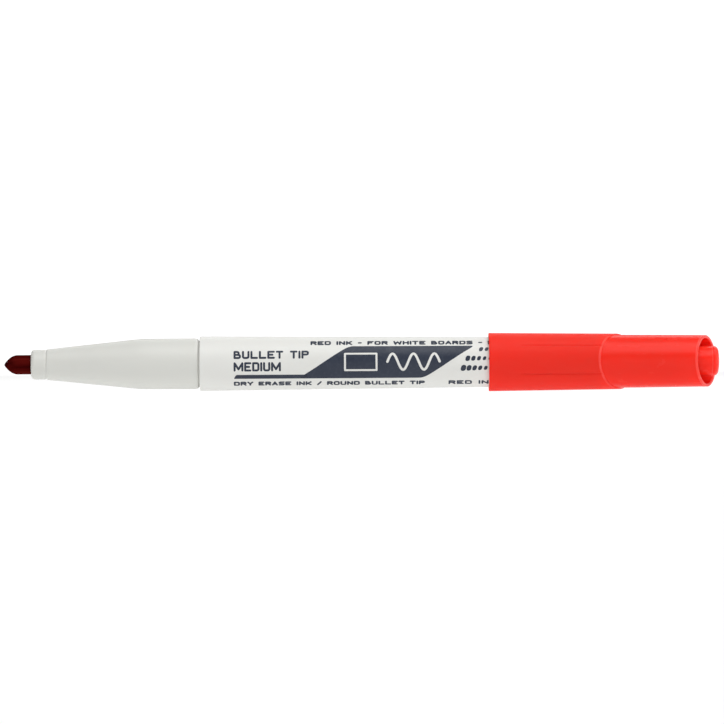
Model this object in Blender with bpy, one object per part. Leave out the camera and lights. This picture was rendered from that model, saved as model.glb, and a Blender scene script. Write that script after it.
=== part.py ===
"""A slim dry-wipe whiteboard marker with its cap posted on the rear end.

The pen's axis lies along X at the height AXIS_Z, with the nib at -X and the posted cap at +X. The origin is
at the middle of the length, on the surface that the marker lies on. A station is a distance from the nib's
tip along the axis. Every turned piece is a profile of (station, radius) points spun about that axis.
"""

from math import cos, pi, radians, sin

import bmesh
import bpy
from mathutils import Matrix, Vector

MM = 0.001
SIDES = 28
FIT_GAP = 0.30 * MM
FINE_GAP = 0.20 * MM
CREASE = radians(32)
CUT_MARGIN = 1.0 * MM  # how far a cutting solid runs past the face that it cuts through

# The whole marker, from the nib's tip to the end of the posted cap
POSTED_LENGTH = 145.6 * MM

# Nib
NIB_RADIUS = 1.97 * MM
NIB_NOSE = 2.90 * MM
NIB_TIP_RADIUS = 0.12 * MM
NIB_NOSE_POWER = 2.3
NIB_END = 39.0 * MM
NIB_TAIL_RADIUS = 1.15 * MM
NIB_TAIL_TAPER = 5.0 * MM

# Grip section
COLLAR_FRONT = 5.46 * MM
COLLAR_RADIUS = 3.03 * MM
COLLAR_ROUNDING = 0.70 * MM
COLLAR_END = 8.35 * MM
GROOVE_WIDTH = 0.40 * MM
GROOVE_DEPTH = 0.18 * MM
CONE_START_RADIUS = 3.09 * MM
CONE_END = 26.8 * MM
CONE_END_RADIUS = 5.02 * MM
GRIP_START = 28.8 * MM
GRIP_RADIUS = 5.13 * MM
GRIP_REAR = 39.52 * MM
GRIP_REAR_RADIUS = 5.17 * MM
GRIP_REAR_ROUNDING = 0.8 * MM
GRIP_REAR_DROP = 0.14 * MM
GRIP_WALL = 1.15 * MM
SPIGOT_LENGTH = 8.0 * MM
SPIGOT_CHAMFER = 0.4 * MM
NIB_BORE_END = 17.0 * MM

# Barrel
BARREL_FRONT = 39.86 * MM
BARREL_REAR = 118.6 * MM
BARREL_RADIUS = 5.54 * MM
BARREL_STRAIGHT = 2.3 * MM
BARREL_TAPER_START = 50.0 * MM
BARREL_TAPER_RADIUS = 5.465 * MM
BARREL_REAR_RADIUS = 4.93 * MM
BARREL_WALL = 0.80 * MM
BARREL_REAR_ROUNDING = 0.25 * MM

# Ink reservoir, its film and the breather strip
RESERVOIR_FRONT = 33.0 * MM
RESERVOIR_REAR = 112.0 * MM
RESERVOIR_RADIUS = 3.00 * MM
FILM_THICKNESS = 0.25 * MM
STRIP_FRONT = 49.0 * MM
STRIP_REAR = 109.0 * MM
STRIP_WIDTH = 1.3 * MM
STRIP_THICKNESS = 0.30 * MM

# End plug
PLUG_FLANGE = 0.80 * MM
PLUG_FLANGE_RADIUS = 4.70 * MM
PLUG_DEPTH = 6.0 * MM
PLUG_WALL = 0.9 * MM
PLUG_CHAMFER = 0.25 * MM

# Outer cap, at the stations that it has while posted
CAP_MOUTH = 98.62 * MM
CAP_MOUTH_RADIUS = 5.93 * MM
CAP_STEP = 125.0 * MM
CAP_STEP_RADIUS = 5.66 * MM
CAP_STEP_SLANT = radians(34.5)
CAP_STEP_ROUNDING = 0.12 * MM
CAP_TAIL_RADIUS = 5.40 * MM
CAP_END = 143.05 * MM
CAP_END_RADIUS = 5.25 * MM
CAP_END_SLANT = radians(23.5)
CAP_TURN = radians(4.5)  # how far the posted cap is turned about the axis
CAP_EDGE = 0.16 * MM
CAP_BORE_RADIUS = 5.38 * MM
CAP_BORE_END = 120.9 * MM
CAP_BORE_END_RADIUS = 5.20 * MM
CAP_TAIL_BORE_RADIUS = 4.65 * MM

# The shallow flutes along the outer cap's sleeve
FLUTE_COUNT = 6
FLUTE_START = 105.1 * MM
FLUTE_WIDTH = 0.50 * MM
FLUTE_DEPTH = 0.12 * MM

# Inner cap, which seals round the grip section's cone when the marker is closed
INNER_MOUTH = 119.9 * MM
INNER_FLANGE = 0.8 * MM
INNER_FUNNEL_RADIUS = 4.20 * MM
INNER_SKIRT_END = 124.0 * MM
INNER_SEAL_START = 127.2 * MM
INNER_SEAL_END = 133.8 * MM
INNER_SEAL_RADIUS = 3.40 * MM
INNER_WALL = 0.60 * MM
INNER_POST_RADIUS = 2.97 * MM
INNER_POST_BORE = 2.25 * MM
INNER_BORE_END = 140.6 * MM
INNER_NECKING = 1.0 * MM
BOSS_START = 144.3 * MM
BOSS_RADIUS = 3.03 * MM
BOSS_EDGE = 0.1 * MM
BOSS_ROUNDING = 1.15 * MM
VANE_PAIRS = 3
VANE_START = 134.2 * MM
VANE_LENGTH = 3.0 * MM
VANE_THICKNESS = 0.6 * MM

AXIS_Z = CAP_MOUTH_RADIUS * cos(pi / SIDES)
MIDDLE = POSTED_LENGTH / 2
FILM_RADIUS = RESERVOIR_RADIUS + FINE_GAP + FILM_THICKNESS


def clear_scene():
    for item in list(bpy.data.objects):
        bpy.data.objects.remove(item, do_unlink=True)


def material(name, colour, roughness, metallic=0.0):
    made = bpy.data.materials.new(name)
    made.use_nodes = True
    shader = made.node_tree.nodes["Principled BSDF"]
    shader.inputs["Base Color"].default_value = (*colour, 1.0)
    shader.inputs["Roughness"].default_value = roughness
    shader.inputs["Metallic"].default_value = metallic
    return made


def axis_empty(name, station):
    """An empty on the pen's axis, which carries the pieces of one body."""
    made = bpy.data.objects.new(name, None)
    bpy.context.scene.collection.objects.link(made)
    made.location = (station - MIDDLE, 0, AXIS_Z)
    return made


def new_object(name, bm, body):
    """An object on the body's empty, made from a bmesh whose X coordinates are stations."""
    bmesh.ops.recalc_face_normals(bm, faces=bm.faces)
    bmesh.ops.translate(bm, verts=bm.verts, vec=(-MIDDLE - body.location.x, 0, 0))
    mesh = bpy.data.meshes.new(name)
    bm.to_mesh(mesh)
    bm.free()
    made = bpy.data.objects.new(name, mesh)
    bpy.context.scene.collection.objects.link(made)
    made.parent = body
    return made


def finished(piece, look):
    """Gives a piece its material and smooth shading between its creases."""
    piece.data.materials.append(look)
    piece.data.shade_smooth()
    piece.data.set_sharp_from_angle(angle=CREASE)


def tool(name, bm, body):
    """A solid that only cuts or joins another, and isn't a piece itself."""
    made = new_object(name, bm, body)
    made.hide_render = True
    made.display_type = "WIRE"
    return made


def boolean(target, other, operation):
    step = target.modifiers.new(other.name, "BOOLEAN")
    step.operation = operation
    step.object = other


def turned(profile):
    """A bmesh spun about the axis from a profile that is a closed loop or runs from the axis to the axis.

    The profile starts half a side round from the bottom, so that the piece rests on a flat side.
    """
    bm = bmesh.new()
    start = Matrix.Rotation(pi / SIDES, 3, "X")
    points = [bm.verts.new(start @ Vector((station, 0, -radius))) for station, radius in profile]
    pairs = list(zip(points, points[1:]))
    if profile[0][1] > 0:
        pairs.append((points[-1], points[0]))
    edges = [bm.edges.new(pair) for pair in pairs]
    bmesh.ops.spin(bm, geom=points + edges, axis=(1, 0, 0), angle=2 * pi, steps=SIDES, use_merge=True)
    bmesh.ops.remove_doubles(bm, verts=bm.verts, dist=1e-7)
    return bm


def box(bm, size, centre):
    made = bmesh.ops.create_cube(bm, size=1.0)["verts"]
    bmesh.ops.scale(bm, vec=size, verts=made)
    bmesh.ops.translate(bm, vec=centre, verts=made)
    return made


def along(start, end, share):
    return start + (end - start) * share


def rounding(station, radius, size, steps=3):
    """A quarter round from a front face to the outside, whose sharp corner would be at (station, radius)."""
    turns = [pi / 2 * i / steps for i in range(steps + 1)]
    return [(station + size * (1 - sin(t)), radius - size * (1 - cos(t))) for t in reversed(turns)]


def cone_radius(station):
    """The grip section's outer radius between its collar and its near-cylinder."""
    return along(CONE_START_RADIUS, CONE_END_RADIUS, (station - COLLAR_END) / (CONE_END - COLLAR_END))


def sleeve_radius(station):
    """The outer radius of the cap's sleeve."""
    return along(CAP_MOUTH_RADIUS, CAP_STEP_RADIUS, (station - CAP_MOUTH) / (CAP_STEP - CAP_MOUTH))


def make_nib(body):
    """The bullet nib: an ogive nose, a straight rod, and a tapered tail that ends in the reservoir."""
    steps = 12
    nose = []
    for i in range(steps):
        bulge = 1 - (1 - i / steps) ** NIB_NOSE_POWER
        nose.append((NIB_NOSE * i / steps, along(NIB_TIP_RADIUS, NIB_RADIUS, bulge)))
    tail = [
        (NIB_NOSE, NIB_RADIUS),
        (NIB_END - NIB_TAIL_TAPER, NIB_RADIUS),
        (NIB_END, NIB_TAIL_RADIUS),
        (NIB_END, 0),
    ]
    return new_object("nib", turned([(0, 0)] + nose + tail), body)


def make_grip_section(body):
    """The front section: rounded collar, groove, cone, near-cylinder, and a spigot inside the barrel."""
    spigot_end = GRIP_REAR + SPIGOT_LENGTH
    spigot_radius = BARREL_RADIUS - BARREL_WALL - FIT_GAP
    nib_bore = NIB_RADIUS + FINE_GAP
    chamber = FILM_RADIUS + FIT_GAP
    groove_end = COLLAR_END + GROOVE_WIDTH
    outside = [
        (COLLAR_END, COLLAR_RADIUS),
        (COLLAR_END + GROOVE_WIDTH / 2, COLLAR_RADIUS - GROOVE_DEPTH),
        (groove_end, cone_radius(groove_end)),
        (CONE_END, CONE_END_RADIUS),
        (along(CONE_END, GRIP_START, 0.5), along(CONE_END_RADIUS, GRIP_RADIUS, 0.7)),
        (GRIP_START, GRIP_RADIUS),
        (GRIP_REAR - GRIP_REAR_ROUNDING, GRIP_REAR_RADIUS),
        (GRIP_REAR, GRIP_REAR_RADIUS - GRIP_REAR_DROP),
        (GRIP_REAR, spigot_radius),
        (spigot_end - SPIGOT_CHAMFER, spigot_radius),
        (spigot_end, spigot_radius - SPIGOT_CHAMFER),
    ]
    inside = [
        (spigot_end, chamber),
        (RESERVOIR_FRONT - FIT_GAP, chamber),
        (NIB_BORE_END, cone_radius(NIB_BORE_END) - GRIP_WALL),
        (NIB_BORE_END, nib_bore),
        (COLLAR_FRONT, nib_bore),
    ]
    collar = rounding(COLLAR_FRONT, COLLAR_RADIUS, COLLAR_ROUNDING)
    return new_object("grip_section", turned(collar + outside + inside), body)


def make_barrel(body):
    """The tube: straight for a short way behind its square front edge, then one long slight taper."""
    profile = [
        (BARREL_FRONT, BARREL_RADIUS - BARREL_WALL),
        (BARREL_FRONT, BARREL_RADIUS),
        (BARREL_FRONT + BARREL_STRAIGHT, BARREL_RADIUS),
        (BARREL_TAPER_START, BARREL_TAPER_RADIUS),
        (BARREL_REAR - BARREL_REAR_ROUNDING, BARREL_REAR_RADIUS),
        (BARREL_REAR, BARREL_REAR_RADIUS - BARREL_REAR_ROUNDING),
        (BARREL_REAR, BARREL_REAR_RADIUS - BARREL_WALL),
        (BARREL_TAPER_START, BARREL_TAPER_RADIUS - BARREL_WALL),
    ]
    return new_object("barrel", turned(profile), body)


def make_ink_reservoir(body):
    """The fibre rod, with a socket in its front end that takes the nib's tail."""
    socket_end = NIB_END + FIT_GAP
    profile = [
        (socket_end, 0),
        (socket_end, NIB_TAIL_RADIUS + FINE_GAP),
        (NIB_END - NIB_TAIL_TAPER, NIB_RADIUS + FINE_GAP),
        (RESERVOIR_FRONT, NIB_RADIUS + FINE_GAP),
        (RESERVOIR_FRONT, RESERVOIR_RADIUS),
        (RESERVOIR_REAR, RESERVOIR_RADIUS),
        (RESERVOIR_REAR, 0),
    ]
    return new_object("ink_reservoir", turned(profile), body)


def make_reservoir_film(body):
    """The thin wrap round the fibre rod, open at both ends."""
    inner = RESERVOIR_RADIUS + FINE_GAP
    front = RESERVOIR_FRONT + FINE_GAP
    rear = RESERVOIR_REAR - FINE_GAP
    profile = [(front, inner), (front, FILM_RADIUS), (rear, FILM_RADIUS), (rear, inner)]
    return new_object("reservoir_film", turned(profile), body)


def make_breather_strip(body):
    """The flat strip between the film and the barrel's wall, which keeps an air path open."""
    bm = bmesh.new()
    length = STRIP_REAR - STRIP_FRONT
    height = FILM_RADIUS + FINE_GAP + STRIP_THICKNESS / 2
    box(bm, (length, STRIP_WIDTH, STRIP_THICKNESS), (STRIP_FRONT + length / 2, 0, height))
    return new_object("breather_strip", bm, body)


def make_end_plug(body):
    """The cup-shaped plug in the barrel's rear end, with a flange behind the barrel."""
    flange_front = BARREL_REAR + FINE_GAP
    flange_rear = flange_front + PLUG_FLANGE
    spigot = BARREL_REAR_RADIUS - BARREL_WALL - FIT_GAP
    front = BARREL_REAR - PLUG_DEPTH
    profile = [
        (BARREL_REAR - PLUG_WALL, 0),
        (BARREL_REAR - PLUG_WALL, spigot - PLUG_WALL),
        (front, spigot - PLUG_WALL),
        (front, spigot - PLUG_CHAMFER),
        (front + PLUG_CHAMFER, spigot),
        (flange_front, spigot),
        (flange_front, PLUG_FLANGE_RADIUS),
        (flange_rear - PLUG_CHAMFER, PLUG_FLANGE_RADIUS),
        (flange_rear, PLUG_FLANGE_RADIUS - PLUG_CHAMFER),
        (flange_rear, 0),
    ]
    return new_object("end_plug", turned(profile), body)


def slanted_block(name, station, slant, body):
    """A block behind a plane across the axis, which leans back towards the turned cap's far side."""
    reach = 40 * MM
    bm = bmesh.new()
    box(bm, (reach, reach, reach), (reach / 2, 0, 0))
    bmesh.ops.transform(bm, verts=bm.verts, matrix=Matrix.Rotation(-slant, 4, "Z"))
    bmesh.ops.transform(bm, verts=bm.verts, matrix=Matrix.Rotation(-CAP_TURN, 4, "X"))
    bmesh.ops.translate(bm, verts=bm.verts, vec=(station, 0, 0))
    return tool(name, bm, body)


def cap_flutes(body):
    """Bars that cut the flutes, parallel to the sleeve's tapered side and out through the slanted step."""
    end = CAP_STEP + CAP_STEP_RADIUS
    middle = (FLUTE_START + end) / 2
    taper = (CAP_MOUTH_RADIUS - CAP_STEP_RADIUS) / (CAP_STEP - CAP_MOUTH)
    size = (end - FLUTE_START, FLUTE_WIDTH, FLUTE_DEPTH + CUT_MARGIN)
    bm = bmesh.new()
    for i in range(FLUTE_COUNT):
        flute = box(bm, size, (0, 0, (CUT_MARGIN - FLUTE_DEPTH) / 2))
        bmesh.ops.rotate(bm, verts=flute, matrix=Matrix.Rotation(taper, 3, "Y"))
        bmesh.ops.translate(bm, verts=flute, vec=(middle, 0, sleeve_radius(middle)))
        turn = pi / FLUTE_COUNT + 2 * pi * i / FLUTE_COUNT + pi / 2 - CAP_TURN
        bmesh.ops.rotate(bm, verts=flute, matrix=Matrix.Rotation(turn, 3, "X"))
    return tool("cap_flutes_tool", bm, body)


def make_cap(body):
    """The outer cap: a fluted sleeve with a slanted step, then a narrower tube cut off at a slant."""
    sleeve_end = CAP_STEP + CAP_STEP_RADIUS
    tail_start = CAP_STEP - CAP_STEP_RADIUS
    tail_end = CAP_END + CAP_END_RADIUS
    sleeve = [
        (CAP_MOUTH, 0),
        (CAP_MOUTH, CAP_MOUTH_RADIUS - CAP_EDGE),
        (CAP_MOUTH + CAP_EDGE, CAP_MOUTH_RADIUS),
        (sleeve_end, sleeve_radius(sleeve_end)),
        (sleeve_end, 0),
    ]
    tail = [(tail_start, 0), (tail_start, CAP_TAIL_RADIUS), (tail_end, CAP_END_RADIUS), (tail_end, 0)]
    bore_front = CAP_MOUTH - CUT_MARGIN
    bore_rear = tail_end + CUT_MARGIN
    bore = [
        (bore_front, 0),
        (bore_front, CAP_BORE_RADIUS),
        (CAP_MOUTH, CAP_BORE_RADIUS),
        (BARREL_REAR, CAP_BORE_END_RADIUS),
        (CAP_BORE_END, CAP_BORE_END_RADIUS),
        (CAP_BORE_END, CAP_TAIL_BORE_RADIUS),
        (bore_rear, CAP_TAIL_BORE_RADIUS),
        (bore_rear, 0),
    ]
    step_block = slanted_block("cap_step_tool", CAP_STEP, CAP_STEP_SLANT, body)
    end_block = slanted_block("cap_end_tool", CAP_END, CAP_END_SLANT, body)
    cap = new_object("cap", turned(sleeve), body)
    boolean(cap, step_block, "DIFFERENCE")
    rounded = cap.modifiers.new("step_rounding", "BEVEL")
    rounded.width = CAP_STEP_ROUNDING
    rounded.segments = 2
    rounded.angle_limit = radians(50)
    boolean(cap, cap_flutes(body), "DIFFERENCE")
    boolean(cap, tool("cap_tail_tool", turned(tail), body), "UNION")
    boolean(cap, end_block, "DIFFERENCE")
    boolean(cap, tool("cap_bore_tool", turned(bore), body), "DIFFERENCE")
    return cap


def make_inner_cap(body):
    """The inner cap: flange, funnel and seal tube, then a post whose round end closes the cap's end."""
    flange_radius = CAP_BORE_END_RADIUS - FINE_GAP
    skirt_radius = CAP_TAIL_BORE_RADIUS - FINE_GAP
    seal_outside = INNER_SEAL_RADIUS + INNER_WALL
    outside = [
        (INNER_MOUTH, 0),
        (INNER_MOUTH, flange_radius),
        (INNER_MOUTH + INNER_FLANGE, flange_radius),
        (INNER_MOUTH + INNER_FLANGE, skirt_radius),
        (INNER_SKIRT_END, skirt_radius),
        (INNER_SEAL_START, seal_outside),
        (INNER_SEAL_END, seal_outside),
        (INNER_SEAL_END + INNER_NECKING, INNER_POST_RADIUS),
        (BOSS_START - BOSS_EDGE, INNER_POST_RADIUS),
        (BOSS_START, BOSS_RADIUS),
    ]
    front_rounding = rounding(0, BOSS_RADIUS, BOSS_ROUNDING)
    end = [(POSTED_LENGTH - station, radius) for station, radius in reversed(front_rounding)]
    end.append((POSTED_LENGTH, 0))
    inside = [
        (INNER_MOUTH - CUT_MARGIN, 0),
        (INNER_MOUTH - CUT_MARGIN, INNER_FUNNEL_RADIUS),
        (INNER_MOUTH, INNER_FUNNEL_RADIUS),
        (INNER_SEAL_START, INNER_SEAL_RADIUS),
        (INNER_SEAL_END, INNER_SEAL_RADIUS),
        (INNER_SEAL_END + INNER_NECKING / 2, INNER_POST_BORE),
        (INNER_BORE_END, INNER_POST_BORE),
        (INNER_BORE_END, 0),
    ]
    vanes = bmesh.new()
    for i in range(VANE_PAIRS):
        size = (VANE_LENGTH, 2 * skirt_radius, VANE_THICKNESS)
        vane = box(vanes, size, (VANE_START + VANE_LENGTH / 2, 0, 0))
        bmesh.ops.rotate(vanes, verts=vane, matrix=Matrix.Rotation(pi * i / VANE_PAIRS, 3, "X"))
    inner = new_object("inner_cap", turned(outside + end), body)
    boolean(inner, tool("vane_tool", vanes, body), "UNION")
    boolean(inner, tool("inner_bore_tool", turned(inside), body), "DIFFERENCE")
    return inner


def build():
    clear_scene()
    white = material("white_plastic", (0.84, 0.84, 0.80), 0.35)
    grey_white = material("grey_white_plastic", (0.78, 0.78, 0.74), 0.45)
    red = material("red_plastic", (0.87, 0.035, 0.02), 0.32)
    fibre = material("inked_fibre", (0.07, 0.004, 0.004), 0.85)
    ink_core = material("ink_soaked_fibre", (0.25, 0.01, 0.01), 0.9)
    film = material("clear_film", (0.80, 0.82, 0.82), 0.25)
    strip = material("strip_plastic", (0.85, 0.85, 0.83), 0.4)
    pen = axis_empty("pen_axis", 0)
    slide = axis_empty("cap_slide", CAP_MOUTH)
    finished(make_nib(pen), fibre)
    finished(make_grip_section(pen), grey_white)
    finished(make_barrel(pen), white)
    finished(make_ink_reservoir(pen), ink_core)
    finished(make_reservoir_film(pen), film)
    finished(make_breather_strip(pen), strip)
    finished(make_end_plug(pen), red)
    finished(make_cap(slide), red)
    finished(make_inner_cap(slide), red)


build()
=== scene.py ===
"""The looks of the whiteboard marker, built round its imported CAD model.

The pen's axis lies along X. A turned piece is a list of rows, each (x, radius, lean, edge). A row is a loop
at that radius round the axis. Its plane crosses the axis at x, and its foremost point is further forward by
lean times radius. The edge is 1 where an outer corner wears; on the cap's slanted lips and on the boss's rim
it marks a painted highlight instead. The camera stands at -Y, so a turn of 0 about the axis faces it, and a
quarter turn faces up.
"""

from math import atan2, cos, hypot, pi, radians, sin, tan

import bmesh
import bpy
import numpy as np
from mathutils import Matrix, Vector, noise
from mathutils.geometry import delaunay_2d_cdt


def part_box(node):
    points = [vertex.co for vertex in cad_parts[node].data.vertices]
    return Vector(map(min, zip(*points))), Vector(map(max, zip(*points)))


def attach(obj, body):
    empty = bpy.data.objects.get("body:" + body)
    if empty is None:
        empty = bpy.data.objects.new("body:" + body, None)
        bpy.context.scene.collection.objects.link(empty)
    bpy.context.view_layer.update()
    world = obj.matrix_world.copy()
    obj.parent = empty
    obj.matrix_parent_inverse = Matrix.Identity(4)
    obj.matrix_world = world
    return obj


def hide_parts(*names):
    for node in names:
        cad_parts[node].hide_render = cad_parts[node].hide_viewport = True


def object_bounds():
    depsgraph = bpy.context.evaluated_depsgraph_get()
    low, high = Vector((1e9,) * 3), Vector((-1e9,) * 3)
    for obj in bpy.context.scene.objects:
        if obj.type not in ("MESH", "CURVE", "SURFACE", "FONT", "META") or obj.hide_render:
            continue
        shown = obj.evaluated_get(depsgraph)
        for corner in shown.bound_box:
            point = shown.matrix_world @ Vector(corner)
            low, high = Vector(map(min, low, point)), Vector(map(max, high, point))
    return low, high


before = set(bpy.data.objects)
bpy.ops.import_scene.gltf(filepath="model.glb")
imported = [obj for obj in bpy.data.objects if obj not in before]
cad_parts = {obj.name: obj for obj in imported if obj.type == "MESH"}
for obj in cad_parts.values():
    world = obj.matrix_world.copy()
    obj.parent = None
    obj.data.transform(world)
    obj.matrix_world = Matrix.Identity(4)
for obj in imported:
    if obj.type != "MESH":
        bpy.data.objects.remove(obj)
cad_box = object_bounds()

MM = 0.001
COLUMNS = 240
SAME_RING = 0.003 * MM  # CAD points nearer than this in x and in radius are on one ring

# Moulded edges
EDGE_RADIUS = 0.14 * MM
EDGE_STEPS = 4
SMOOTH_TURN = radians(12)  # a profile's corner that turns less than this stays as it is
MOST_OF_SIDE = 0.42  # a rounding takes at most this share of the shorter side next to it
SUPPORT = 0.22 * MM  # how far past a rounding its supporting row lies
SATIN_RADIUS = 5.50 * MM  # between the cap's tube and its sleeve

# The nib's nose, and its uneven surface
NOSE_POWER = 2.3
NOSE_STEPS = 40
NOSE_GATHERING = 1.5  # how much the steps gather at the tip, where 1 spaces them evenly
TIP_RADIUS = 0.18 * MM
ROD_ROWS = 12
ROD_SPACING = 0.5 * MM
LUMP_LENGTH = 1.6 * MM
LUMP_DEPTH = 0.018 * MM
FIBRE_LENGTH = 9 * MM
FIBRE_DEPTH = 0.014 * MM

# The groove between the section's shoulder and the barrel
SECTION_SHOULDER = 0.25 * MM  # the size of the shoulder's rounding
GROOVE_CLEARANCE = 0.02 * MM
GROOVE_OVERLAP = 0.10 * MM
BARREL_EDGE_RADIUS = 0.07 * MM

# The outer cap's walls, from its mouth to its slanted end
MOUTH_LENGTH = 0.5 * MM  # the cap is at its widest here
MOUTH_ROUNDING = 0.16 * MM
FOOT_ROUNDING = 0.08 * MM
SLEEVE_DROP = 0.27 * MM  # how much narrower the sleeve is at its step than at its mouth
TAIL_FRONT_RADIUS = 5.40 * MM
TAIL_END_RADIUS = 5.25 * MM
SLEEVE_BORE_FRONT = 5.38 * MM
SLEEVE_BORE_REAR = 5.20 * MM
SLEEVE_BORE_DEPTH = 22.28 * MM
TAIL_BORE = 4.65 * MM
LIP_RADIUS = 0.20 * MM
LIP_HIGHLIGHT_BAND = 0.30 * MM  # how far the painted highlight on the slanted cuts' thin lips reaches
LESS_LEAN = 0.98  # the share of a cut's lean that the rows before its lip have
REARWARD = 0.7  # a slanted cut's normal points more than this to the rear
TOWARDS_CAMERA = 0.2  # and more than this towards the camera
ROW_SPACING = 1.1 * MM

# The shallow flutes along the sleeve
FLUTE_COUNT = 6
FLUTE_START = 6.48 * MM  # behind the mouth
FLUTE_RUN_IN = 0.25 * MM
FLUTE_WIDTH = 0.50 * MM
FLUTE_DEPTH = 0.12 * MM
FLUTE_COLUMNS = 12

# The inner cap, along the axis from its mouth
INNER_FLANGE = 0.8 * MM
INNER_SKIRT_RADIUS = 4.45 * MM
INNER_FUNNEL_RADIUS = 4.20 * MM
INNER_SKIRT_END = 4.1 * MM
INNER_SEAL_START = 7.3 * MM
INNER_SEAL_END = 13.9 * MM
INNER_SEAL_RADIUS = 3.40 * MM
INNER_SEAL_OUTSIDE = 4.00 * MM
INNER_NECKING = 1.0 * MM
POST_RADIUS = 2.97 * MM
POST_BORE = 2.25 * MM
POST_BORE_END = 20.7 * MM
BOSS_LENGTH = 1.3 * MM
BOSS_RADIUS = 3.03 * MM
BOSS_GROOVE = 0.12 * MM
BOSS_ROUNDING = 1.15 * MM
BOSS_DOME = 0.16 * MM
BOSS_STEPS = 8
DOME_STEPS = 6
# how strongly the boss's rounded rim is painted paler, as a painted highlight
BOSS_RIM_HIGHLIGHT = 0.6
VANE_COUNT = 6
VANE_START = 14.3 * MM
VANE_LENGTH = 3.0 * MM
VANE_THICKNESS = 0.6 * MM
VANE_EDGE = 0.1 * MM

# The printing on the barrel: u runs from the barrel's front edge, and v up round its surface from the
# middle of the side that faces the camera
INK_ABOVE = 0.012 * MM
INK_BELOW = 0.020 * MM
INK_SLICE = 0.25 * MM
BARREL_OUTSIDE = 4.8 * MM  # only the barrel's outside has a greater radius
BEND = 1.45  # how far before and after a corner a letter's stroke bends, on the letters' grid
BEND_STEPS = 5
GRID_HEIGHT = 6
LETTER_GAP = 2.2
SPACE_WIDTH = 2.0
PRINT_START = 6.92  # millimetres, as all the printing's sizes are
TITLE_WEIGHT = 0.42
NOTE_HEIGHT = 1.22
NOTE_WEIGHT = 0.37
HIGH_NOTES = 4.00
LOW_NOTES = -5.28
BAND_LOW = -3.3
BAND_HIGH = 3.65
SQUIGGLE_STEPS = 120
DOT_ROWS = 3
DOTS_IN_ROW = 8
DOT_SPACING = 1.13
DOT_ROW_SPACING = 1.97
LOWEST_DOTS = -1.17
DOT_SIZE = 1.05

# The capitals that are printed, as strokes through (column, row) points of a grid
STROKES = {
    "A": "00-26 26-40 12-32",
    "B": "00-06 06-36-33-03 03-43-40-00",
    "D": "00-06 06-46-40-00",
    "E": "06-00 06-46 03-33 00-40",
    "F": "00-06 06-46 03-33",
    "H": "00-06 40-46 03-43",
    "I": "00-06",
    "K": "00-06 02-46 13-40",
    "L": "06-00 00-40",
    "M": "00-06 06-31 31-66 66-60",
    "N": "00-06 06-40 40-46",
    "O": "03-06-46-43 43-40-00-03",
    "P": "00-06 06-46-43-03",
    "R": "00-06 06-46-43-03 23-40",
    "S": "46-06-03-43-40-00",
    "T": "26-20 06-46",
    "U": "06-00-40-46",
    "W": "06-10 10-35 35-50 50-66",
    "Y": "06-23 23-46 23-20",
    "/": "00-36",
    "-": "03-23",
    " ": "",
}

# The camera and its frame
LENS = 270.0
SENSOR = 36.0
VIEW_WIDTH = 147.5 * MM
VIEW_RIGHT = 0.03 * MM
VIEW_UP = 0.165 * MM
VIEW_ROLL = radians(0.33)

# The stage
FLOOR_DROP = 0.05 * MM
FLOOR_RADIUS = 1.9
BACKDROP_ROUNDING = 0.2
BACKDROP_HEIGHT = 0.36

AXIS_Z = sum(corner.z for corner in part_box("nib")) / 2


# Turned profiles


def ring_of(rings, point):
    """The number of the ring that a CAD point is on, which is added if it is a new one."""
    x, radius = point.x, hypot(point.y, point.z - AXIS_Z)
    for i, (ring_x, ring_radius) in enumerate(rings):
        if abs(ring_x - x) < SAME_RING and abs(ring_radius - radius) < SAME_RING:
            return i
    rings.append((x, radius))
    return len(rings) - 1


def profile_of(node):
    """A turned CAD node's profile, as (x, radius) points in order, read from the edges of its mesh.

    It starts at the front, at the axis or on the outside, and runs along the outside first.
    """
    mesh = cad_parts[node].data
    rings = []
    number = [ring_of(rings, vertex.co) for vertex in mesh.vertices]
    beside = [set() for _ in rings]
    for edge in mesh.edges:
        a, b = (number[v] for v in edge.vertices)
        if a != b:
            beside[a].add(b)
            beside[b].add(a)
    ends = [i for i in range(len(rings)) if len(beside[i]) == 1]
    first = min(ends or range(len(rings)), key=lambda i: (round(rings[i][0] / MM, 2), -rings[i][1]))
    walk = [first]
    while True:
        ahead = [i for i in beside[walk[-1]] if i not in walk]
        if not ahead:
            return [rings[i] for i in walk]
        walk.append(max(ahead, key=lambda i: rings[i][1]))


def corner_rows(before, here, after, radius):
    """The rows that round the corner at here, (x, radius, lean), with a supporting row on each side."""
    lean = here[2]
    point = Vector(here[:2])
    back = Vector(before[:2]) - point
    ahead = Vector(after[:2]) - point
    turn = pi - back.angle(ahead)
    if turn < SMOOTH_TURN or min(back.length, ahead.length) < SAME_RING:
        return [(point.x, point.y, lean, 0.0)]
    room = MOST_OF_SIDE * min(back.length, ahead.length)
    reach = min(radius * tan(turn / 2), room)
    outer = 1.0 if back.cross(ahead) < 0 else 0.0
    start = point + back.normalized() * reach
    end = point + ahead.normalized() * reach
    size = reach / tan(turn / 2)
    middle = (back.normalized() + ahead.normalized()).normalized()
    centre = point + middle * size / cos(turn / 2)
    first_spoke, last_spoke = (start - centre).normalized(), (end - centre).normalized()
    rows = [(*(start + back.normalized() * min(SUPPORT, back.length * 0.1)), lean, 0.0)]
    for i in range(EDGE_STEPS + 1):
        spoke = first_spoke.slerp(last_spoke, i / EDGE_STEPS)
        rows.append((*(centre + spoke * size), lean, outer))
    rows.append((*(end + ahead.normalized() * min(SUPPORT, ahead.length * 0.1)), lean, 0.0))
    return rows


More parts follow.
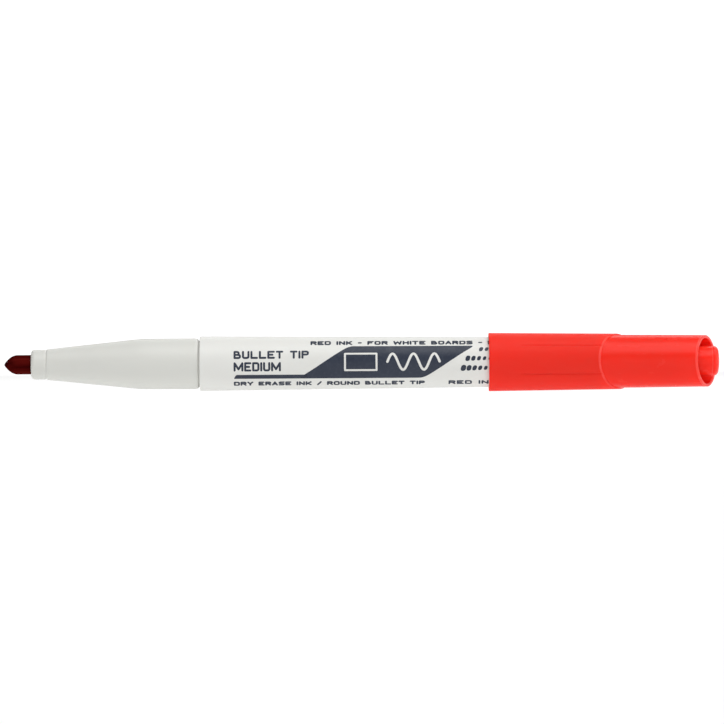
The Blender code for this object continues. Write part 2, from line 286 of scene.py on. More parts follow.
def rounded(points, closed, radius=EDGE_RADIUS):
    """Rows with every sharp corner rounded, from points (x, radius) that may have a lean and a size added.

    A corner is rounded by its own size, or else by radius.
    """
    full = [(*point, 0.0)[:3] if len(point) < 3 else point[:3] for point in points]
    sizes = [point[3] if len(point) > 3 else radius for point in points]
    rows = []
    for i, here in enumerate(full):
        if not closed and i in (0, len(full) - 1):
            rows.append((*here, 0.0))
            continue
        rows += corner_rows(full[i - 1], here, full[(i + 1) % len(full)], sizes[i])
    return rows


def even_turns(columns=COLUMNS):
    return [2 * pi * i / columns for i in range(columns)]


def new_piece(name, mesh, body, material, replaced=None):
    """A piece made from a mesh, on its body, with its material, and with the CAD node that it replaces if it
    has one.
    """
    piece = bpy.data.objects.new(name, mesh)
    bpy.context.scene.collection.objects.link(piece)
    mesh.materials.clear()
    mesh.materials.append(material)
    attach(piece, body)
    if replaced:
        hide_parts(replaced)
    return piece


def turned_mesh(name, rows, closed, turns=None, swell=None, foremost=0.0):
    """A closed mesh from rows, whose leaning rows have their foremost points at the turn foremost.

    swell(x, radius, turn) gives what is added to a row's radius there.
    """
    turns = turns or even_turns()
    bm = bmesh.new()
    wear_and_highlight_layer = bm.verts.layers.float.new("edge")
    rings = []
    for x, radius, lean, edge in rows:
        if radius < SAME_RING:
            ring = [bm.verts.new((x, 0, AXIS_Z))] * len(turns)
        else:
            ring = []
            for turn in turns:
                reach = radius + (swell(x, radius, turn) if swell else 0.0)
                forward = lean * reach * cos(turn - foremost)
                ring.append(bm.verts.new((x - forward, -reach * cos(turn), AXIS_Z + reach * sin(turn))))
        for vertex in ring:
            vertex[wear_and_highlight_layer] = edge
        rings.append(ring)
    pairs = list(zip(rings, rings[1:]))
    if closed:
        pairs.append((rings[-1], rings[0]))
    for one, two in pairs:
        for i in range(len(turns)):
            j = (i + 1) % len(turns)
            corners = list(dict.fromkeys((one[i], one[j], two[j], two[i])))
            if len(corners) > 2:
                bm.faces.new(corners)
    bmesh.ops.recalc_face_normals(bm, faces=bm.faces)
    mesh = bpy.data.meshes.new(name)
    bm.to_mesh(mesh)
    bm.free()
    mesh.shade_smooth()
    return mesh


def even_shading(piece):
    """Normals that follow the larger faces, so that flat stretches look flat next to their rounded edges."""
    step = piece.modifiers.new("even_shading", "WEIGHTED_NORMAL")
    step.weight = 60
    return piece


# Materials


def add(tree, kind, inputs=None, **settings):
    """A shader node with its settings, and with values or sockets for its inputs."""
    made = tree.nodes.new(kind)
    for key, value in settings.items():
        setattr(made, key, value)
    for key, value in (inputs or {}).items():
        if isinstance(value, bpy.types.NodeSocket):
            tree.links.new(value, made.inputs[key])
        else:
            made.inputs[key].default_value = value
    return made


def new_material(name, **constants):
    """A material, its node tree and its Principled BSDF, whose named sockets hold the constants."""
    made = bpy.data.materials.new(name)
    made.use_nodes = True
    shader = made.node_tree.nodes["Principled BSDF"]
    for key, value in constants.items():
        shader.inputs[key.replace("_", " ")].default_value = value
    return made, made.node_tree, shader


def grain(tree, scale, detail=2.0, stretch=(1.0, 1.0, 1.0), distortion=0.0):
    """Noise in the frame's metres, about 0 to 1, with features of about 1/scale metres."""
    coordinates = add(tree, "ShaderNodeTexCoord").outputs["Object"]
    placed = add(tree, "ShaderNodeMapping", {"Vector": coordinates, "Scale": stretch}).outputs["Vector"]
    inputs = {"Vector": placed, "Scale": scale, "Detail": detail, "Distortion": distortion}
    return add(tree, "ShaderNodeTexNoise", inputs).outputs[0]


def ranged(tree, value, low, high, start=0.3, end=0.7):
    """The value taken from start..end to low..high, and held there."""
    inputs = {"Value": value, "From Min": start, "From Max": end, "To Min": low, "To Max": high}
    return add(tree, "ShaderNodeMapRange", inputs, clamp=True).outputs["Result"]


def calculated(tree, operation, one, two):
    return add(tree, "ShaderNodeMath", {0: one, 1: two}, operation=operation).outputs[0]


def blended(tree, share, one, two):
    """A colour between one and two, each a colour or a socket."""
    mix = add(tree, "ShaderNodeMix", data_type="RGBA")
    for index, value in ((0, share), (6, one), (7, two)):
        if isinstance(value, bpy.types.NodeSocket):
            tree.links.new(value, mix.inputs[index])
        else:
            mix.inputs[index].default_value = value if index == 0 else (*value, 1.0)
    return mix.outputs[2]


def scaled(colour, factor):
    return tuple(min(1.0, channel * factor) for channel in colour)


def edge_wear_and_highlight(tree):
    """How much a point lies on a worn outer edge or on a painted highlight along a lip or rim, broken up so
    that it is uneven.
    """
    edge = add(tree, "ShaderNodeAttribute", attribute_name="edge").outputs["Fac"]
    return calculated(tree, "MULTIPLY", edge, ranged(tree, grain(tree, 700, 3), 0.5, 1.0))


def bump(tree, shader, height, distance, strength, under=None):
    inputs = {"Height": height, "Distance": distance, "Strength": strength}
    made = add(tree, "ShaderNodeBump", inputs)
    if under:
        tree.links.new(under, made.inputs["Normal"])
    tree.links.new(made.outputs["Normal"], shader.inputs["Normal"])
    return made.outputs["Normal"]


def from_axis(tree):
    """A point's distance from the pen's axis."""
    coordinates = add(tree, "ShaderNodeTexCoord").outputs["Object"]
    inputs = {0: coordinates, 1: (0.0, 0.0, AXIS_Z)}
    place = add(tree, "ShaderNodeVectorMath", inputs, operation="SUBTRACT").outputs[0]
    inputs = {0: place, 1: (0.0, 1.0, 1.0)}
    across = add(tree, "ShaderNodeVectorMath", inputs, operation="MULTIPLY").outputs[0]
    return add(tree, "ShaderNodeVectorMath", {0: across}, operation="LENGTH").outputs["Value"]


def moulded(name, colour, wear_and_highlight_colour, roughness, peel, satin=0.0, **constants):
    """Moulded plastic: faint flow marks, uneven gloss, a fine orange peel and paler, duller outer edges, which
    are worn corners and, on the cap's slanted lips and the boss's rim, a painted highlight.

    satin is how much duller the plastic is outside SATIN_RADIUS, where the mould has a finer texture.
    """
    made, tree, shader = new_material(name, **constants)
    flow = grain(tree, 60, 3, (1.0, 2.6, 2.6), 0.4)
    body = blended(tree, ranged(tree, flow, 0.0, 1.0), scaled(colour, 0.975), scaled(colour, 1.012))
    speck = ranged(tree, grain(tree, 2400, 2), 0.0, 0.05, 0.55, 0.75)
    body = blended(tree, speck, body, scaled(colour, 0.93))
    wear_and_highlight_mask = edge_wear_and_highlight(tree)
    tree.links.new(blended(tree, wear_and_highlight_mask, body, wear_and_highlight_colour), shader.inputs["Base Color"])
    gloss = ranged(tree, grain(tree, 320, 4), roughness - 0.045, roughness + 0.055)
    rub = ranged(tree, grain(tree, 90, 5, (1.0, 9.0, 9.0)), 0.0, 0.07, 0.52, 0.7)
    gloss = calculated(tree, "ADD", gloss, rub)
    gloss = calculated(tree, "ADD", gloss, calculated(tree, "MULTIPLY", wear_and_highlight_mask, 0.08))
    if satin:
        dulled = ranged(tree, from_axis(tree), 0.0, satin, SATIN_RADIUS, SATIN_RADIUS + 0.05 * MM)
        gloss = calculated(tree, "ADD", gloss, dulled)
    tree.links.new(gloss, shader.inputs["Roughness"])
    draw = bump(tree, shader, grain(tree, 260, 3, (0.12, 1.0, 1.0)), 0.012 * MM, 0.5)
    bump(tree, shader, grain(tree, 2600, 2), 0.006 * MM, peel, draw)
    return made


def white_plastic():
    return moulded(
        "white_plastic", (0.742, 0.742, 0.712), (0.79, 0.79, 0.77), 0.42, 0.35, Specular_IOR_Level=0.3,
        Subsurface_Weight=0.12, Subsurface_Radius=(1.0, 0.9, 0.8), Subsurface_Scale=0.6 * MM,
    )


def grey_white_plastic():
    return moulded(
        "grey_white_plastic", (0.655, 0.658, 0.621), (0.71, 0.71, 0.68), 0.46, 0.6,
        Subsurface_Weight=0.12, Subsurface_Radius=(1.0, 0.9, 0.8), Subsurface_Scale=0.6 * MM,
    )


def red_plastic():
    # The paler edge colour is a painted highlight on the cap's slanted lips and the boss's rim, and wear on
    # other corners.
    return moulded(
        "red_plastic", (0.98, 0.029, 0.016), (1.0, 0.085, 0.070), 0.22, 0.4, 0.30,
        Specular_IOR_Level=0.12, Subsurface_Weight=0.60, Subsurface_Radius=(1.0, 0.12, 0.08),
        Subsurface_Scale=1.9 * MM,
    )


def inked_fibre():
    """Pressed fibre soaked with red ink: dark, with fine fibres along the nib whose lighter streaks are partly
    the fibres' own tone and partly a painted sheen of ink.
    """
    made, tree, shader = new_material("inked_fibre", Specular_IOR_Level=0.0)
    fibres = grain(tree, 900, 4, (0.07, 1.0, 1.0), 0.3)
    blots = grain(tree, 420, 3)
    # The lighter colour along the fibres is partly the fibres' own tone and partly a painted sheen.
    dark, lighter_fibre_and_sheen = (0.026, 0.0009, 0.0010), (0.082, 0.0042, 0.0032)
    body = blended(tree, ranged(tree, fibres, 0.0, 1.0, 0.35, 0.68), dark, lighter_fibre_and_sheen)
    body = blended(tree, ranged(tree, blots, 0.0, 0.7, 0.5, 0.75), body, (0.060, 0.0020, 0.0022))
    loose = ranged(tree, grain(tree, 1500, 3, (0.05, 1.0, 1.0)), 0.0, 0.55, 0.62, 0.74)
    tree.links.new(blended(tree, loose, body, (0.12, 0.0090, 0.0070)), shader.inputs["Base Color"])
    tree.links.new(ranged(tree, fibres, 0.52, 0.80), shader.inputs["Roughness"])
    coarse = bump(tree, shader, fibres, 0.05 * MM, 0.9)
    bump(tree, shader, grain(tree, 3200, 3, (0.2, 1.0, 1.0)), 0.015 * MM, 0.6, coarse)
    return made


def printing_ink():
    """Navy pad-printing ink, a little thin in places."""
    made, tree, shader = new_material("printing_ink", Specular_IOR_Level=0.35)
    thin = ranged(tree, grain(tree, 1800, 4), 0.0, 0.5, 0.48, 0.72)
    cloud = ranged(tree, grain(tree, 150, 2), 0.0, 1.0)
    body = blended(tree, cloud, (0.017, 0.024, 0.044), (0.024, 0.032, 0.054))
    tree.links.new(blended(tree, thin, body, (0.038, 0.047, 0.070)), shader.inputs["Base Color"])
    tree.links.new(ranged(tree, grain(tree, 500, 3), 0.34, 0.48), shader.inputs["Roughness"])
    bump(tree, shader, grain(tree, 3000, 2), 0.004 * MM, 0.4)
    return made


def ink_soaked_fibre():
    """The reservoir's soft fibre bundle, full of red ink."""
    made, tree, shader = new_material("ink_soaked_fibre")
    strands = grain(tree, 1100, 4, (0.06, 1.0, 1.0), 0.8)
    body = blended(tree, ranged(tree, strands, 0.0, 1.0), (0.17, 0.006, 0.006), (0.38, 0.022, 0.018))
    tree.links.new(body, shader.inputs["Base Color"])
    tree.links.new(ranged(tree, strands, 0.7, 0.95), shader.inputs["Roughness"])
    bump(tree, shader, strands, 0.06 * MM, 0.9)
    return made


def clear_film():
    """The reservoir's thin film wrap, with soft wrinkles."""
    made, tree, shader = new_material("clear_film", Transmission_Weight=0.85, IOR=1.45)
    wrinkles = grain(tree, 300, 4, (0.4, 1.0, 1.0), 0.6)
    body = blended(tree, ranged(tree, wrinkles, 0.0, 1.0), (0.86, 0.88, 0.88), (0.94, 0.95, 0.95))
    tree.links.new(body, shader.inputs["Base Color"])
    tree.links.new(ranged(tree, wrinkles, 0.16, 0.30), shader.inputs["Roughness"])
    bump(tree, shader, wrinkles, 0.03 * MM, 0.7)
    return made


def strip_plastic():
    """The extruded breather strip, with draw lines along it."""
    made, tree, shader = new_material("strip_plastic")
    lines = grain(tree, 1500, 3, (0.03, 1.0, 1.0))
    body = blended(tree, ranged(tree, lines, 0.0, 1.0), (0.78, 0.78, 0.76), (0.86, 0.86, 0.84))
    tree.links.new(body, shader.inputs["Base Color"])
    tree.links.new(ranged(tree, lines, 0.34, 0.46), shader.inputs["Roughness"])
    bump(tree, shader, lines, 0.01 * MM, 0.6)
    return made


# The pen's pieces


def fibre_swell(x, radius, turn):
    """The nib's slight unevenness, and the fine flutes that the fibres leave along it."""
    lumps = Vector((x / LUMP_LENGTH, 2.2 * cos(turn), 2.2 * sin(turn)))
    flutes = Vector((x / FIBRE_LENGTH, 11 * cos(turn), 11 * sin(turn)))
    return LUMP_DEPTH * noise.noise(lumps) + FIBRE_DEPTH * noise.noise(flutes)


def build_nib(material):
    """The bullet nib, with the CAD's ogive nose in finer steps."""
    points = profile_of("nib")
    front, full = points[0][0], max(radius for _, radius in points)
    shoulder = next(i for i, point in enumerate(points) if point[1] > full - SAME_RING)
    length = points[shoulder][0] - front
    nose = [(front, 0.0, 0.0, 0.0)]
    for i in range(NOSE_STEPS + 1):
        share = (i / NOSE_STEPS) ** NOSE_GATHERING
        bulge = 1 - (1 - share) ** NOSE_POWER
        nose.append((front + length * share, TIP_RADIUS + (full - TIP_RADIUS) * bulge, 0.0, 0.0))
    rod = [(front + length + i * ROD_SPACING, full, 0.0, 0.0) for i in range(1, ROD_ROWS + 1)]
    rest = rounded(points[shoulder + 1:], closed=False)
    mesh = turned_mesh("nib_fibre", nose + rod + rest, closed=False, swell=fibre_swell)
    return new_piece("nib_fibre", mesh, "pen", material, "nib")


def build_grip_section(material):
    """The section, whose rear shoulder is soft, and whose groove next to the barrel is shallow."""
    points = profile_of("grip_section")
    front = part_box("barrel")[0].x
    floor = min(radius for x, radius in profile_of("barrel") if x < front + SAME_RING) - GROOVE_CLEARANCE
    shoulder = max(i for i, point in enumerate(points) if point[1] > floor)
    x, radius = points[shoulder]
    spigot = points[shoulder + 1][1]
    end = front + GROOVE_OVERLAP
    groove = [(x, radius, 0.0, SECTION_SHOULDER), (x, floor), (end, floor), (end, spigot)]
    points[shoulder:shoulder + 2] = groove
    mesh = turned_mesh("grip_section_moulding", rounded(points, closed=True), closed=True)
    piece = new_piece("grip_section_moulding", mesh, "pen", material, "grip_section")
    return even_shading(piece)


def build_barrel(material):
    points = profile_of("barrel")
    mesh = turned_mesh("barrel_tube", rounded(points, closed=True, radius=BARREL_EDGE_RADIUS), closed=True)
    return even_shading(new_piece("barrel_tube", mesh, "pen", material, "barrel"))


def build_end_plug(material):
    points = profile_of("end_plug")
    mesh = turned_mesh("end_plug_moulding", rounded(points, closed=False), closed=False)
    return even_shading(new_piece("end_plug_moulding", mesh, "pen", material, "end_plug"))


# The cap's pieces


def widest(node, start, end):
    """The greatest radius that a CAD node has between two places along the axis."""
    points = [vertex.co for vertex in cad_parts[node].data.vertices]
    return max(hypot(p.y, p.z - AXIS_Z) for p in points if start - SAME_RING < p.x < end + SAME_RING)


def slanted_cuts(node):
    """A CAD node's two large slanted cuts, each (x at the axis, lean), and their foremost points' turn."""
    areas, places = {}, {}
    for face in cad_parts[node].data.polygons:
        normal = face.normal
        if normal.x > REARWARD and -normal.y > TOWARDS_CAMERA:
            lean = hypot(normal.y, normal.z) / normal.x
            turn = atan2(normal.z, -normal.y)
            forward = (face.center.z - AXIS_Z) * sin(turn) - face.center.y * cos(turn)
            key = round(lean, 1)
            areas[key] = areas.get(key, 0.0) + face.area
            places.setdefault(key, []).append((face.area, face.center.x + lean * forward, lean, turn))
    largest = sorted(areas, key=areas.get)[-2:]
    step, end = sorted(max(places[key])[1:] for key in largest)
    return step[:2], end[:2], step[2]


def fluted_columns(radius, flutes):
    """Columns round the cap, with finer ones across each flute."""
    half = 0.75 * FLUTE_WIDTH / radius
    gap = 2 * pi / FLUTE_COUNT - 2 * half
    between = COLUMNS // FLUTE_COUNT
    turns = []
    for flute in flutes:
        turns += [flute - half + 2 * half * i / FLUTE_COLUMNS for i in range(FLUTE_COLUMNS + 1)]
        turns += [flute + half + gap * i / between for i in range(1, between)]
    return sorted(turn % (2 * pi) for turn in turns)


def flute_swell(start, radius, least, flutes):
    """What the flutes take from the sleeve's outside behind start, as round-bottomed grooves."""
    def swell(x, reach, turn):
        if reach < least or x < start:
            return 0.0
        off = min(abs((turn - flute + pi) % (2 * pi) - pi) for flute in flutes) * radius
        across = max(0.0, 1 - (2 * off / FLUTE_WIDTH) ** 2)
        return -FLUTE_DEPTH * min(1.0, (x - start) / FLUTE_RUN_IN) * across
    return swell


def before_cut(x, radius, lean):
    """The points that bound the painted highlight on the lip before a slanted cut."""
    return [(x - 1.5 * LIP_HIGHLIGHT_BAND, radius, LESS_LEAN * lean), (x - LIP_HIGHLIGHT_BAND, radius, lean)]


def has_lip_highlight(row, step_x, step_lean, end_lean):
    """Whether a row is on the slanted step, and not behind its foot, or on the slanted end, where the lip gets
    a painted highlight.
    """
    return row[2] == end_lean or (row[2] == step_lean and row[0] < step_x + SAME_RING)


def build_cap(material):
    """The outer cap, in rows that lean more and more from the flutes' fronts to the slanted step."""
    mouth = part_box("cap")[0].x
    radius = widest("cap", mouth, mouth + MOUTH_LENGTH)
    (step_x, step_lean), (end_x, end_lean), foremost = slanted_cuts("cap")
    sleeve_end = radius - SLEEVE_DROP
    flute_front = mouth + FLUTE_START
    outside = [(mouth, SLEEVE_BORE_FRONT, 0.0), (mouth, radius, 0.0, MOUTH_ROUNDING)]
    for x in (flute_front, flute_front + FLUTE_RUN_IN):
        outside.append((x, radius - SLEEVE_DROP * (x - mouth) / (step_x - mouth), 0.0))
    lip = before_cut(step_x, sleeve_end, step_lean) + [(step_x, sleeve_end, step_lean, LIP_RADIUS)]
    foot = (step_x, TAIL_FRONT_RADIUS, step_lean, FOOT_ROUNDING)
    rim = before_cut(end_x, TAIL_END_RADIUS, end_lean)
    rim += [(end_x, TAIL_END_RADIUS, end_lean, LIP_RADIUS), (end_x, TAIL_BORE, end_lean, LIP_RADIUS)]
    shoulder = mouth + SLEEVE_BORE_DEPTH
    inside = [(end_x - LIP_HIGHLIGHT_BAND, TAIL_BORE, LESS_LEAN * end_lean)]
    inside += [(shoulder, TAIL_BORE, 0.0), (shoulder, SLEEVE_BORE_REAR, 0.0)]
    rows = rounded(outside + lip + [foot] + rim + inside, closed=True)
    # The slanted lips' rows get an edge of 1, which paints them paler as a painted highlight; the cap's other
    # rows get none.
    rows = [(*row[:3], float(has_lip_highlight(row, step_x, step_lean, end_lean))) for row in rows]
    rows = filled_in(rows)
    flutes = [foremost + 2 * pi * (i + 0.5) / FLUTE_COUNT for i in range(FLUTE_COUNT)]
    swell = flute_swell(flute_front, radius, sleeve_end, flutes)
    mesh = turned_mesh("cap_shell", rows, True, fluted_columns(radius, flutes), swell, foremost)
    return even_shading(new_piece("cap_shell", mesh, "cap_assembly", material, "cap"))


def filled_in(rows):
    """A closed profile's rows, with more along its long stretches, so that a lean comes in evenly."""
    filled = []
    for row, after in zip(rows, rows[1:] + rows[:1]):
        count = max(1, int(hypot(after[0] - row[0], after[1] - row[1]) / ROW_SPACING))
        for i in range(count):
            filled.append(tuple(a + (b - a) * i / count for a, b in zip(row, after)))
    return filled


def build_inner_cap(material):
    """The inner cap: flange, funnel, seal tube, and the post whose domed boss closes the cap's end."""
    low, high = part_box("inner_cap")
    mouth, end = low.x, high.x
    flange = widest("inner_cap", mouth, mouth + INNER_FLANGE)
    boss = end - BOSS_LENGTH
    outside = [
        (mouth, INNER_FUNNEL_RADIUS),
        (mouth, flange),
        (mouth + INNER_FLANGE, flange),
        (mouth + INNER_FLANGE, INNER_SKIRT_RADIUS),
        (mouth + INNER_SKIRT_END, INNER_SKIRT_RADIUS),
        (mouth + INNER_SEAL_START, INNER_SEAL_OUTSIDE),
        (mouth + INNER_SEAL_END, INNER_SEAL_OUTSIDE),
        (mouth + INNER_SEAL_END + INNER_NECKING, POST_RADIUS),
        (boss - BOSS_GROOVE, POST_RADIUS),
        (boss, BOSS_RADIUS),
    ]
    inside = [
        (mouth + POST_BORE_END, 0.0),
        (mouth + POST_BORE_END, POST_BORE),
        (mouth + INNER_SEAL_END + INNER_NECKING / 2, POST_BORE),
        (mouth + INNER_SEAL_END, INNER_SEAL_RADIUS),
        (mouth + INNER_SEAL_START, INNER_SEAL_RADIUS),
    ]
    rows = rounded(inside + outside + [(end - BOSS_ROUNDING, BOSS_RADIUS)], closed=False)
    mesh = turned_mesh("inner_cap_moulding", rows[:-1] + boss_rows(end), closed=False)
    piece = new_piece("inner_cap_moulding", mesh, "cap_assembly", material, "inner_cap")
    return even_shading(piece)


def boss_rows(end):
    """The boss's rounded edge, painted paler towards its middle as a painted highlight, and its low dome, whose
    middle is the cap's furthest point.
    """
    flat = BOSS_RADIUS - BOSS_ROUNDING
    rows = []
    for i in range(BOSS_STEPS + 1):
        turn = pi / 2 * i / BOSS_STEPS
        x = end - BOSS_DOME - (BOSS_ROUNDING - BOSS_DOME) * (1 - sin(turn))
        rows.append((x, flat + BOSS_ROUNDING * cos(turn), 0.0, BOSS_RIM_HIGHLIGHT * sin(2 * turn)))
    for i in range(1, DOME_STEPS + 1):
        share = 1 - i / DOME_STEPS
        rows.append((end - BOSS_DOME * share * share, flat * share, 0.0, 0.0))
    return rows


def build_vanes(material):
    """The thin vanes that centre the inner cap's post in the outer cap's tube."""
    low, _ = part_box("inner_cap")
    bm = bmesh.new()
    inner, outer = POST_RADIUS - 0.1 * MM, INNER_SKIRT_RADIUS
    for i in range(VANE_COUNT):
        vane = bmesh.ops.create_cube(bm, size=1.0)["verts"]
        bmesh.ops.scale(bm, vec=(VANE_LENGTH, VANE_THICKNESS, outer - inner), verts=vane)
        place = (low.x + VANE_START + VANE_LENGTH / 2, 0, (outer + inner) / 2)
        bmesh.ops.translate(bm, vec=place, verts=vane)
        bmesh.ops.rotate(bm, verts=vane, matrix=Matrix.Rotation(2 * pi * i / VANE_COUNT, 3, "X"))
    bmesh.ops.translate(bm, vec=(0, 0, AXIS_Z), verts=bm.verts)
    bmesh.ops.bevel(bm, geom=bm.edges, offset=VANE_EDGE, segments=2, affect="EDGES", profile=0.5)
    mesh = bpy.data.meshes.new("inner_cap_vanes")
    bm.to_mesh(mesh)
    bm.free()
    mesh.shade_smooth()
    return even_shading(new_piece("inner_cap_vanes", mesh, "cap_assembly", material))


# The printing


def inked(shapes, blanks):
    """A flat mesh of the shapes' union less the blanks, all of them loops of (u, v) in millimetres."""
    points, faces = [], []
    for loop in shapes + blanks:
        faces.append(list(range(len(points), len(points) + len(loop))))
        points += [Vector(point) for point in loop]
    points, _, triangles, _, _, sources = delaunay_2d_cdt(points, [], faces, 1, 1e-5, True)
    bm = bmesh.new()
    verts = [bm.verts.new((*point * MM, 0.0)) for point in points]
    for triangle, source in zip(triangles, sources):
        if source and max(source) < len(shapes):
            bm.faces.new([verts[i] for i in triangle])
    bmesh.ops.delete(bm, geom=[vertex for vertex in verts if not vertex.link_faces], context="VERTS")
    return bm


def slice_ink(bm):
    """Cut flat ink into narrow strips along the barrel, so that it can bend round."""
    heights = [vertex.co.y for vertex in bm.verts]
    for i in range(int(min(heights) / INK_SLICE) - 1, int(max(heights) / INK_SLICE) + 2):
        everything = bm.verts[:] + bm.edges[:] + bm.faces[:]
        place = (0, i * INK_SLICE, 0)
        bmesh.ops.bisect_plane(bm, geom=everything, dist=0.0001 * MM, plane_co=place, plane_no=(0, 1, 0))
    bmesh.ops.triangulate(bm, faces=bm.faces)


def thicken_ink(bm):
    raised = bmesh.ops.extrude_face_region(bm, geom=bm.faces[:], use_keep_orig=True)["geom"]
    for item in raised:
        if isinstance(item, bmesh.types.BMVert):
            item.co.z = INK_ABOVE + INK_BELOW


def lay_ink(bm):
    """Wrap the ink round the barrel's outside."""
    surface = sorted(point for point in profile_of("barrel") if point[1] > BARREL_OUTSIDE)
    places = [x for x, _ in surface]
    radii = [radius for _, radius in surface]
    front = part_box("barrel")[0].x
    for vertex in bm.verts:
        u, v, height = vertex.co
        radius = float(np.interp(front + u, places, radii))
        turn = v / radius
        reach = radius - INK_BELOW + height
        vertex.co = (front + u, -reach * cos(turn), AXIS_Z + reach * sin(turn))


def wrapped(name, material, shapes, blanks=()):
    """One printed piece: flat ink that is sliced, given its thickness and laid round the barrel."""
    bm = inked(shapes, list(blanks))
    slice_ink(bm)
    thicken_ink(bm)
    lay_ink(bm)
    bmesh.ops.recalc_face_normals(bm, faces=bm.faces)
    mesh = bpy.data.meshes.new(name)
    bm.to_mesh(mesh)
    bm.free()
    return new_piece(name, mesh, "pen", material)


def rounded_bar(u0, u1, v0, v1, corner, slant=0.0, steps=6):
    """A bar with rounded corners, whose top is shifted along by slant."""
    points = []
    corners = ((u1, v1, 0), (u0, v1, 1), (u0, v0, 2), (u1, v0, 3))
    for u, v, quarter in corners:
        centre_u = u - corner if quarter in (0, 3) else u + corner
        centre_v = v - corner if quarter in (0, 1) else v + corner
        for i in range(steps + 1):
            turn = pi / 2 * (quarter + i / steps)
            place_v = centre_v + corner * sin(turn)
            lean = slant * (place_v - v0) / (v1 - v0)
            points.append((centre_u + corner * cos(turn) + lean, place_v))
    return points


def stroke(points, width):
    """The outline of a line of that width along points, with round ends."""
    outline = []
    for path in (points, points[::-1]):
        for i, (u, v) in enumerate(path):
            before, after = path[max(i - 1, 0)], path[min(i + 1, len(path) - 1)]
            heading = atan2(after[1] - before[1], after[0] - before[0])
            sweep = 5 if i == len(path) - 1 else 1
            for k in range(sweep):
                turn = heading - pi / 2 + pi * k / 5
                outline.append((u + cos(turn) * width / 2, v + sin(turn) * width / 2))
    return outline


def bent(path):
    """A letter's stroke, with each corner between its ends made a round bend."""
    smooth = [path[0]]
    for before, corner, after in zip(path, path[1:], path[2:]):
        start = corner + (before - corner).normalized() * BEND
        end = corner + (after - corner).normalized() * BEND
        for i in range(BEND_STEPS + 1):
            share = i / BEND_STEPS
            smooth.append(start.lerp(corner, share).lerp(corner.lerp(end, share), share))
    return smooth + [path[-1]]


def lettering(text, height, width, start, base, weight):
    """Capitals as outlines of their strokes, in a line that runs from start for that width."""
    letters = []
    for letter in text:
        strokes = STROKES[letter].split()
        paths = []
        for path in strokes:
            paths.append([Vector((int(column), int(row))) for column, row in path.split("-")])
        letters.append(paths)
    widths = [max((point.x for path in paths for point in path), default=SPACE_WIDTH) for paths in letters]
    across = (width - weight) / (sum(widths) + LETTER_GAP * (len(text) - 1))
    up = (height - weight) / GRID_HEIGHT
    outlines = []
    left = start + weight / 2
    for paths, letter_width in zip(letters, widths):
        for path in paths:
            placed = [(left + point.x * across, base + weight / 2 + point.y * up) for point in bent(path)]
            outlines.append(stroke(placed, weight))
        left += (letter_width + LETTER_GAP) * across
    return outlines


def squiggle(start, length, middle, height, waves):
    """Points along a wavy line."""
    points = []
    for i in range(SQUIGGLE_STEPS + 1):
        share = i / SQUIGGLE_STEPS
        points.append((start + length * share, middle + height / 2 * sin(share * 2 * pi * waves)))
    return points


def frame_lines(u0, u1, v0, v1, width):
    """The four sides of a rectangular frame, as outlines."""
    corners = [(u0, v0), (u1, v0), (u1, v1), (u0, v1)]
    return [stroke([here, after], width) for here, after in zip(corners, corners[1:] + corners[:1])]


def dot_rows(start):
    """Rows of slanted dots that shrink towards the rear."""
    dots = []
    for row in range(DOT_ROWS):
        for i in range(DOTS_IN_ROW):
            size = DOT_SIZE - 0.09 * i - 0.12 * row
            u = start + 0.9 * row * row + DOT_SPACING * i
            v = LOWEST_DOTS + DOT_ROW_SPACING * row
            half, tall = size / 2, size * 0.6
            dots.append(rounded_bar(u - half, u + half, v - tall, v + tall, size * 0.45, 0.25))
    return dots


def build_printing(material):
    """Generic words and shapes, where the real marker has its printing."""
    start = PRINT_START
    title = lettering("BULLET TIP", 1.72, 15.3, start, 0.92, TITLE_WEIGHT)
    title += lettering("MEDIUM", 1.90, 9.6, start, -1.65, TITLE_WEIGHT)
    wrapped("barrel_print_title", material, title)
    high = "RED INK - FOR WHITE BOARDS - RED INK"
    low = "DRY ERASE INK / ROUND BULLET TIP"
    notes = lettering(high, NOTE_HEIGHT, 44.5, start + 15.6, HIGH_NOTES, NOTE_WEIGHT)
    notes += lettering(low, NOTE_HEIGHT, 38.8, start, LOW_NOTES, NOTE_WEIGHT)
    notes += lettering("RED INK", NOTE_HEIGHT, 9.8, start + 43.6, LOW_NOTES, NOTE_WEIGHT)
    wrapped("barrel_print_notes", material, notes)
    band = rounded_bar(start + 13.0, start + 38.5, BAND_LOW, BAND_HIGH, 0.7, 10.5)
    board = frame_lines(start + 22.6, start + 29.0, -1.5, 1.9, 0.4)
    line = stroke(squiggle(start + 31.2, 10.6, 0.2, 3.3, 2.5), 0.5)
    wrapped("barrel_print_band", material, [band], board + [line])
    underline = rounded_bar(start, start + 14.5, BAND_LOW, -2.40, 0.2, 0.5)
    wrapped("barrel_print_line", material, [underline])
    wrapped("barrel_print_dots", material, dot_rows(start + 46.5))


# The stage


def studio_white(name, own_light, paint):
    """A white surface that gives some light of its own, as a light table does."""
    made, _, shader = new_material(name, Roughness=1.0, Emission_Strength=own_light)
    shader.inputs["Base Color"].default_value = (paint, paint, paint, 1)
    shader.inputs["Emission Color"].default_value = (1, 1, 1, 1)
    shader.inputs["Specular IOR Level"].default_value = 0.0
    return made


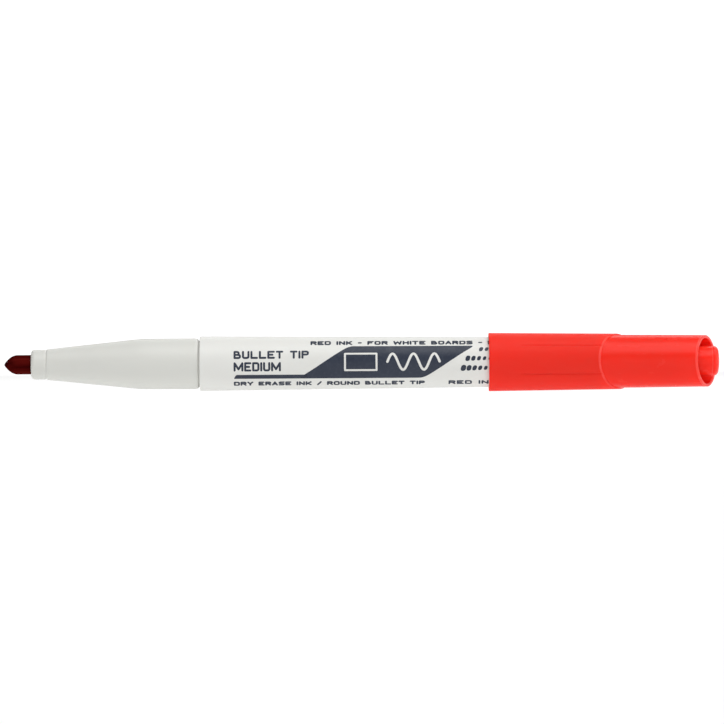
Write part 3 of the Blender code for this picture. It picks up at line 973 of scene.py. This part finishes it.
def stage_piece(name, outline, look):
    """Part of the round stage, spun about the Z axis from (radius, height) points."""
    bm = bmesh.new()
    points = [bm.verts.new((radius, 0, height - FLOOR_DROP)) for radius, height in outline]
    edges = [bm.edges.new(pair) for pair in zip(points, points[1:])]
    bmesh.ops.spin(bm, geom=points + edges, axis=(0, 0, 1), angle=2 * pi, steps=96, use_merge=True)
    bmesh.ops.remove_doubles(bm, verts=bm.verts, dist=1e-6)
    mesh = bpy.data.meshes.new(name)
    bm.to_mesh(mesh)
    bm.free()
    mesh.shade_smooth()
    mesh.materials.append(look)
    made = bpy.data.objects.new(name, mesh)
    bpy.context.scene.collection.objects.link(made)


def build_stage():
    """A round white floor and a low wall that curves up from it, for the same background in every view."""
    stage_piece("floor", [(0.0, 0.0), (FLOOR_RADIUS, 0.0)], studio_white("floor_white", 0.86, 0.20))
    wall = []
    for i in range(13):
        turn = pi / 2 * i / 12
        wall.append((FLOOR_RADIUS + BACKDROP_ROUNDING * sin(turn), BACKDROP_ROUNDING * (1 - cos(turn))))
    wall.append((FLOOR_RADIUS + BACKDROP_ROUNDING, BACKDROP_HEIGHT))
    stage_piece("backdrop", wall, studio_white("backdrop_white", 1.0, 0.20))


def softbox(name, place, size, power):
    """A rectangular soft light that points at the middle of the marker."""
    lamp = bpy.data.lights.new(name, "AREA")
    lamp.shape = "RECTANGLE"
    lamp.size, lamp.size_y = size
    lamp.energy = power
    made = bpy.data.objects.new(name, lamp)
    made.location = place
    aim = Vector((0, 0, AXIS_Z)) - made.location
    made.rotation_mode = "QUATERNION"
    made.rotation_quaternion = aim.to_track_quat("-Z", "Y")
    bpy.context.scene.collection.objects.link(made)


def build_lights():
    softbox("key_softbox", (0.35, -0.32, 0.95), (1.3, 0.85), 11.5)
    softbox("rear_softbox", (0.1, 0.75, 0.65), (1.2, 0.35), 2.0)
    world = bpy.data.worlds.new("studio_air")
    world.use_nodes = True
    world.node_tree.nodes["Background"].inputs["Color"].default_value = (1, 1, 1, 1)
    world.node_tree.nodes["Background"].inputs["Strength"].default_value = 0.26
    bpy.context.scene.world = world


def build_camera():
    """A long lens level with the axis, square to it, and rolled very slightly."""
    data = bpy.data.cameras.new("camera")
    data.lens = LENS
    data.sensor_width = SENSOR
    data.clip_start, data.clip_end = 0.01, 100
    camera = bpy.data.objects.new("camera", data)
    low, high = cad_box
    distance = VIEW_WIDTH * LENS / SENSOR
    camera.location = ((low.x + high.x) / 2 + VIEW_RIGHT, -distance, AXIS_Z + VIEW_UP)
    facing = Matrix.Rotation(VIEW_ROLL, 3, "Y") @ Matrix.Rotation(pi / 2, 3, "X")
    camera.rotation_euler = facing.to_euler()
    bpy.context.scene.collection.objects.link(camera)
    bpy.context.scene.camera = camera


def build():
    bpy.context.scene.view_settings.view_transform = "Standard"
    red = red_plastic()
    build_nib(inked_fibre())
    build_grip_section(grey_white_plastic())
    build_barrel(white_plastic())
    build_end_plug(red)
    build_cap(red)
    build_inner_cap(red)
    build_vanes(red)
    build_printing(printing_ink())
    for node, look, slot in (
        ("ink_reservoir", ink_soaked_fibre(), "ink_soaked_fibre"),
        ("reservoir_film", clear_film(), "clear_film"),
        ("breather_strip", strip_plastic(), "strip_plastic"),
    ):
        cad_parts[node].material_slots[0].material = look
    build_stage()
    build_lights()
    build_camera()


build()
